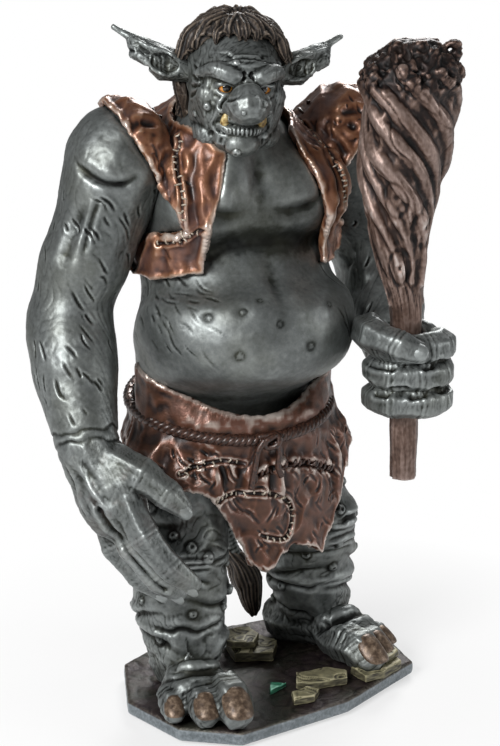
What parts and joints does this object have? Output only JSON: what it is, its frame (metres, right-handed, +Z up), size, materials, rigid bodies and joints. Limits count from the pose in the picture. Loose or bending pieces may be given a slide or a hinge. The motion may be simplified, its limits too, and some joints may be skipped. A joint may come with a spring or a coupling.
{
  "type": "troll statuette",
  "caption": "Standing folk troll statuette with metallic grey-green skin, a hide waistcoat and apron, and a loose wooden-look club held upright in its fist, on a thin slab with flat stones.",
  "frame": {"origin": "on the resting face of the felt pad, under the middle of the slab", "axes": "+Z up, -Y the way the figure faces, +X the figure's left"},
  "size_m": [0.1923, 0.1413, 0.3139],
  "materials": {
    "skin": "satin grey-green metallic patina",
    "hide": "satin copper-brown paint",
    "rope": "satin brown paint",
    "wood": "satin dark brown paint, dry brushed grey",
    "hair": "satin dark brown paint",
    "slab": "satin dark metallic grey",
    "stone": "matt olive brown",
    "green_stone": "satin green",
    "felt": "matt felt",
    "steel": "bright zinc",
    "eye": "gloss amber",
    "ivory": "satin yellowed ivory"
  },
  "bodies": {
    "figure": {"right_leg": "skin", "left_leg": "skin", "trunk": "skin", "tail": "skin", "right_arm": "skin", "left_arm": "skin", "right_hand": "skin", "left_hand": "skin", "head": "skin", "right_ear": "skin", "left_ear": "skin", "waistcoat_back": "hide", "waistcoat_right": "hide", "waistcoat_left": "hide", "front_apron": "hide", "back_apron": "hide", "rope_belt": "rope", "flagstone_edge": "stone", "flagstone_edge_upper": "stone", "flagstone_front": "stone", "flagstone_front_small": "stone", "flagstone_middle": "stone", "flagstone_middle_upper": "stone", "green_shard": "green_stone", "neck_dowel": "steel", "right_shoulder_dowel": "steel", "left_shoulder_dowel": "steel", "right_hip_dowel": "steel", "left_hip_dowel": "steel", "tail_dowel": "steel", "right_wrist_dowel": "steel", "left_wrist_dowel": "steel", "right_base_screw": "steel", "left_base_screw": "steel", "base_slab": "slab", "felt_pad": "felt", "hair": "hair", "tail_tuft": "hair", "right_eye": "eye", "left_eye": "eye", "right_tusk": "ivory", "left_tusk": "ivory"},
    "club": {"club": "wood"}
  },
  "joints": [
    {"name": "club_lift", "type": "slide", "parent": "figure", "child": "club", "axis": [0, 0, 1], "range_m": [0, 0.075]}
  ]
}
